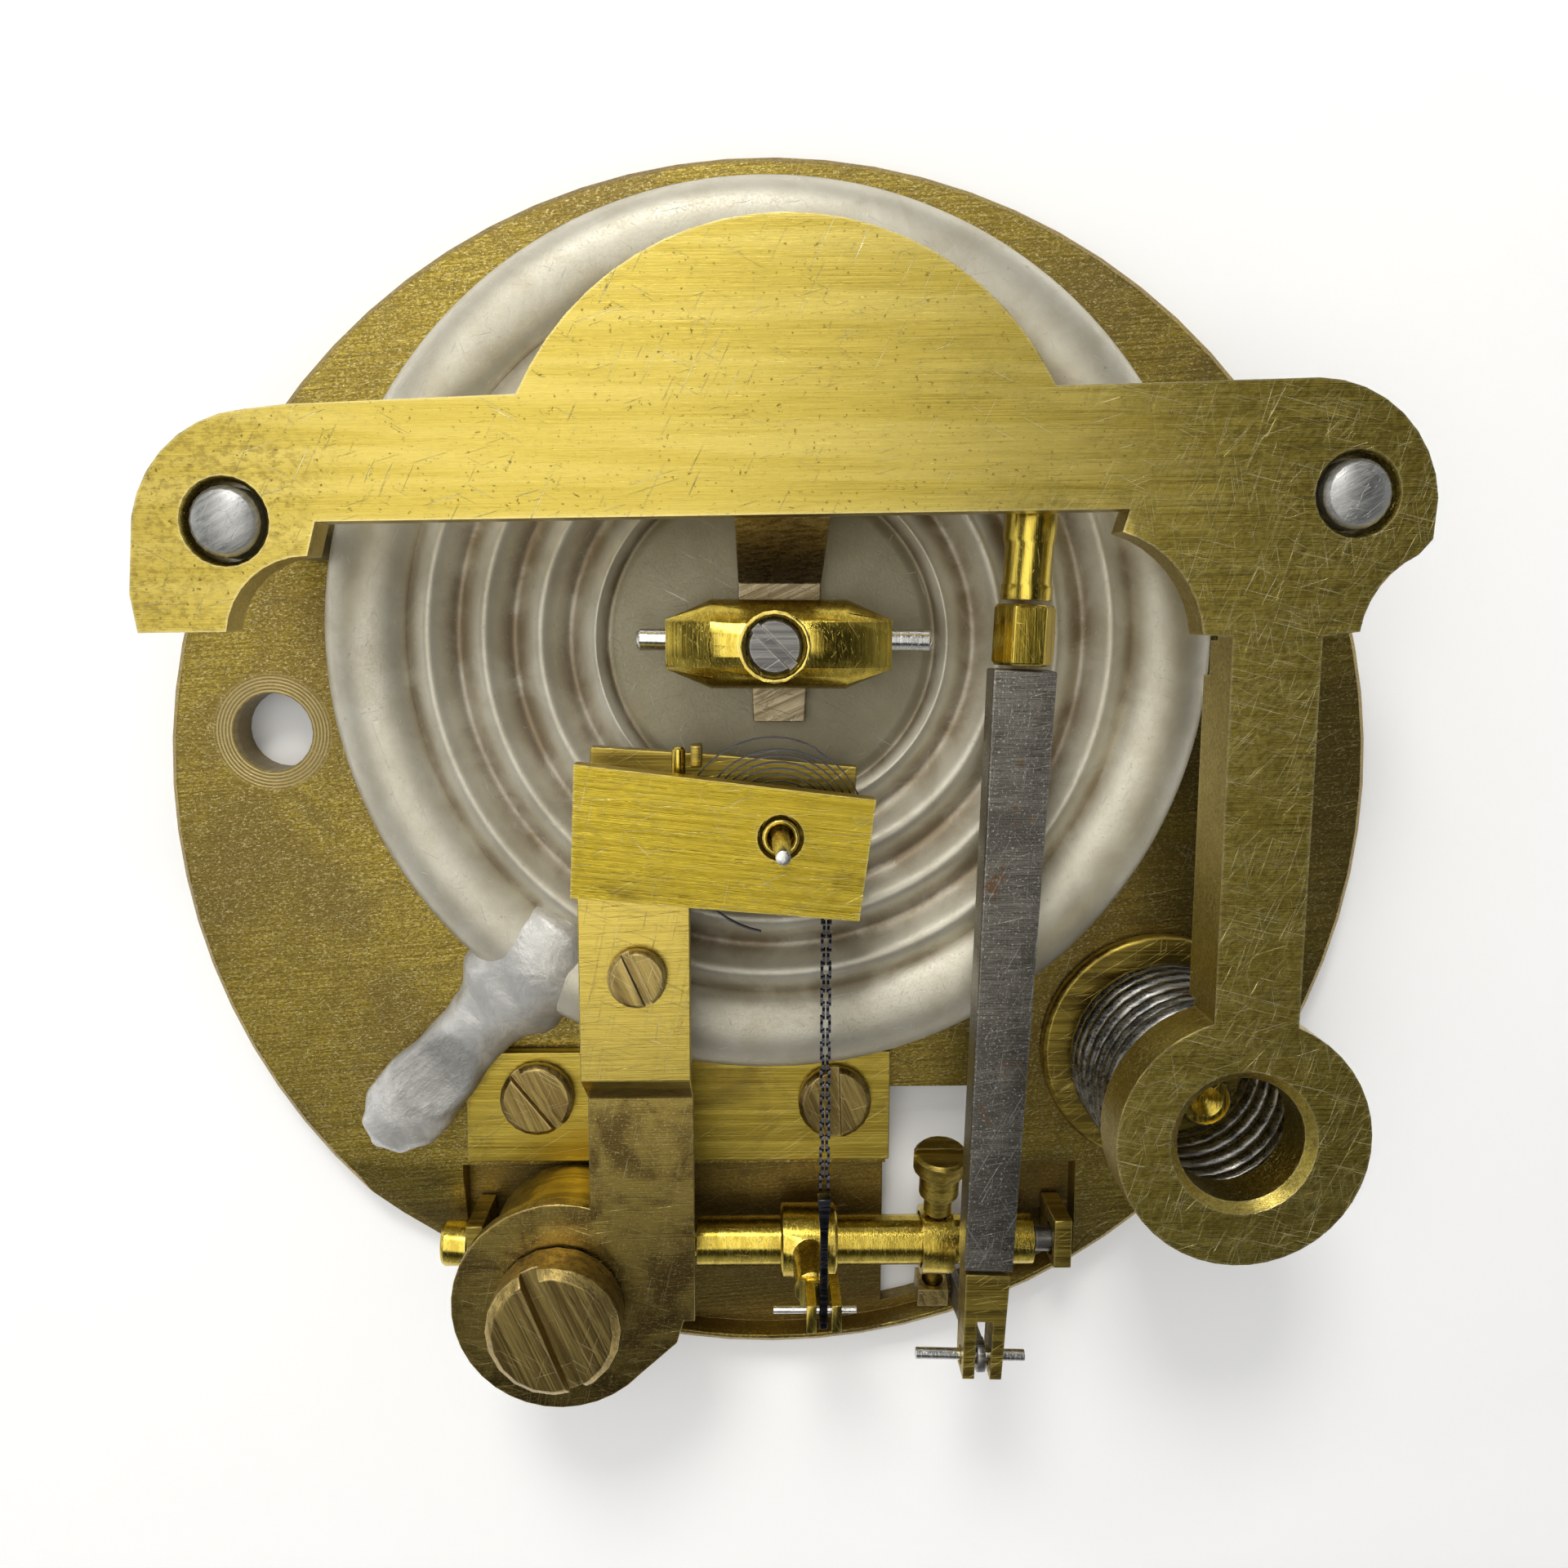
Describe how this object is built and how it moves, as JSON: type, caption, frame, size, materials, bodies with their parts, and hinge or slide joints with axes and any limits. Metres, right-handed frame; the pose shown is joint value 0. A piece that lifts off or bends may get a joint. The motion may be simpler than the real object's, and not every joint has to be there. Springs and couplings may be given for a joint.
{
  "type": "aneroid barometer movement",
  "caption": "Bare aneroid movement: round brass plate, corrugated vacuum capsule, forked lever, coil spring, steel arm, arbor, chain and pointer arbor.",
  "frame": {"origin": "centre of the round base plate's underside", "axes": "+Z from the plate towards the dial, +Y from the arbor's recess towards the capsule, +X towards the coil spring's side"},
  "size_m": [0.1, 0.1, 0.0298],
  "materials": {
    "arbor": "brushed and lightly scratched",
    "arbor_post_left": "aged, speckled patina",
    "arbor_post_right": "aged, speckled patina",
    "arm_block": "dark patina",
    "arm_clevis": "aged, speckled patina",
    "arm_ferrule": "brushed and lightly scratched",
    "arm_hex": "brushed and lightly scratched",
    "bar_screw_left": "dark patina",
    "bar_screw_right": "dark patina",
    "base_plate": "aged, speckled patina",
    "capsule_lower": "matt nickel silver",
    "capsule_nut": "dark patina",
    "capsule_upper": "matt nickel silver",
    "chain": "blued spring steel",
    "chain_arm": "brushed and lightly scratched",
    "chain_drum": "aged, speckled patina",
    "chain_hook": "blued spring steel",
    "clevis_pin": "bright polished steel",
    "cock_bracket": "brushed and lightly scratched",
    "cock_fixing_screw": "dark patina",
    "cock_lower_plate": "aged, speckled patina",
    "cock_pillar": "dark patina",
    "cock_plate_screw": "dark patina",
    "cock_spacer": "aged, speckled patina",
    "cock_upper_plate": "brushed and lightly scratched",
    "compensating_arm": "filed grey steel, fine rust spots",
    "cover_bar": "brushed and lightly scratched",
    "exhaust_tail": "dull tin solder",
    "fork_pin": "bright polished steel",
    "fulcrum_pin_left": "bright polished steel",
    "fulcrum_pin_right": "bright polished steel",
    "hairspring": "blued spring steel",
    "hairspring_collet": "brushed and lightly scratched",
    "hairspring_stud": "aged, speckled patina",
    "lever_plate": "brushed and lightly scratched",
    "link": "filed grey steel, fine rust spots",
    "main_spring": "filed grey steel, fine rust spots",
    "pivot_bush": "aged, speckled patina",
    "pivot_screw_left": "brushed and lightly scratched",
    "pivot_screw_right": "filed grey steel, fine rust spots",
    "pointer_arbor": "bright polished steel",
    "regulating_collar": "brushed and lightly scratched",
    "regulating_nut": "dark patina",
    "regulating_screw": "aged, speckled patina",
    "socket_barrel": "brushed and lightly scratched",
    "socket_pin_left": "bright polished steel",
    "socket_pin_right": "bright polished steel",
    "socket_screw": "filed grey steel, fine rust spots",
    "socket_stud": "aged, speckled patina",
    "spring_post": "dark patina",
    "spring_seat": "aged, speckled patina",
    "steel_tongue": "filed grey steel, fine rust spots",
    "stud_pin": "brushed and lightly scratched"
  },
  "bodies": {
    "frame": {"base_plate": "base_plate", "cover_bar": "cover_bar", "bar_screw_left": "bar_screw_left", "bar_screw_right": "bar_screw_right", "fulcrum_pin_left": "fulcrum_pin_left", "fulcrum_pin_right": "fulcrum_pin_right", "capsule_lower": "capsule_lower", "capsule_nut": "capsule_nut", "exhaust_tail": "exhaust_tail", "spring_seat": "spring_seat", "main_spring": "main_spring", "cock_pillar": "cock_pillar", "cock_bracket": "cock_bracket", "cock_fixing_screw": "cock_fixing_screw", "cock_lower_plate": "cock_lower_plate", "cock_upper_plate": "cock_upper_plate", "cock_spacer": "cock_spacer", "cock_plate_screw": "cock_plate_screw", "pivot_bush": "pivot_bush", "hairspring": "hairspring", "hairspring_stud": "hairspring_stud", "stud_pin": "stud_pin", "arbor_post_left": "arbor_post_left", "arbor_post_right": "arbor_post_right", "pivot_screw_left": "pivot_screw_left", "pivot_screw_right": "pivot_screw_right"},
    "capsule_top": {"capsule_upper": "capsule_upper", "socket_stud": "socket_stud", "socket_barrel": "socket_barrel", "socket_pin_left": "socket_pin_left", "socket_pin_right": "socket_pin_right", "socket_screw": "socket_screw"},
    "lever": {"lever_plate": "lever_plate", "steel_tongue": "steel_tongue", "arm_block": "arm_block", "arm_ferrule": "arm_ferrule", "arm_hex": "arm_hex", "compensating_arm": "compensating_arm", "arm_clevis": "arm_clevis", "clevis_pin": "clevis_pin"},
    "link": {"link": "link"},
    "arbor": {"arbor": "arbor", "chain_arm": "chain_arm", "fork_pin": "fork_pin", "regulating_collar": "regulating_collar", "regulating_nut": "regulating_nut"},
    "regulating": {"regulating_screw": "regulating_screw"},
    "chain": {"chain": "chain", "chain_hook": "chain_hook"},
    "pointer": {"pointer_arbor": "pointer_arbor", "chain_drum": "chain_drum", "hairspring_collet": "hairspring_collet"},
    "spring_post": {"spring_post": "spring_post"}
  },
  "joints": [
    {"name": "lever_rock", "type": "hinge", "parent": "frame", "child": "lever", "pos_m": [0.00105, 0.0214, 0.022], "axis": [0.9996, 0.0289, 0], "range_deg": [-2, 2], "stiffness_Nm_per_rad": 3, "deforming": ["main_spring"]},
    {"name": "capsule_breathe", "type": "slide", "parent": "frame", "child": "capsule_top", "axis": [0, 0, 1], "range_m": [-0.00035, 0.00035], "deforming": ["capsule_upper"]},
    {"name": "link_swing", "type": "hinge", "parent": "lever", "child": "link", "pos_m": [0.01586, -0.04307, 0.0176], "axis": [1, 0, 0], "range_deg": [-1, 1]},
    {"name": "arbor_turn", "type": "hinge", "parent": "frame", "child": "arbor", "pos_m": [0, -0.0396, 0.0054], "axis": [1, 0, 0], "range_deg": [-25, 25]},
    {"name": "regulating_turn", "type": "hinge", "parent": "arbor", "child": "regulating", "pos_m": [0.014, -0.0396, 0.0054], "axis": [0, 0.9613, 0.2756], "range_deg": [-180, 180]},
    {"name": "chain_level", "type": "hinge", "parent": "arbor", "child": "chain", "pos_m": [0.00365, -0.0396, 0.0169], "axis": [1, 0, 0], "range_deg": [-25, 25]},
    {"name": "pointer_turn", "type": "hinge", "parent": "frame", "child": "pointer", "pos_m": [0.0001, -0.0013, 0.015], "axis": [0, 0, 1], "range_deg": [-81, 81]},
    {"name": "spring_post_turn", "type": "hinge", "parent": "frame", "child": "spring_post", "pos_m": [0.0329, -0.0227, 0.01], "axis": [0, 0, 1], "range_deg": [-180, 180]}
  ],
  "couplings": [
    {"joint": "capsule_breathe", "follows": "lever_rock", "m_per_rad": -0.0094},
    {"joint": "link_swing", "follows": "lever_rock", "ratio": 0.3},
    {"joint": "arbor_turn", "follows": "lever_rock", "ratio": 12.4},
    {"joint": "chain_level", "follows": "lever_rock", "ratio": -12.4},
    {"joint": "pointer_turn", "follows": "lever_rock", "ratio": -40.2}
  ]
}
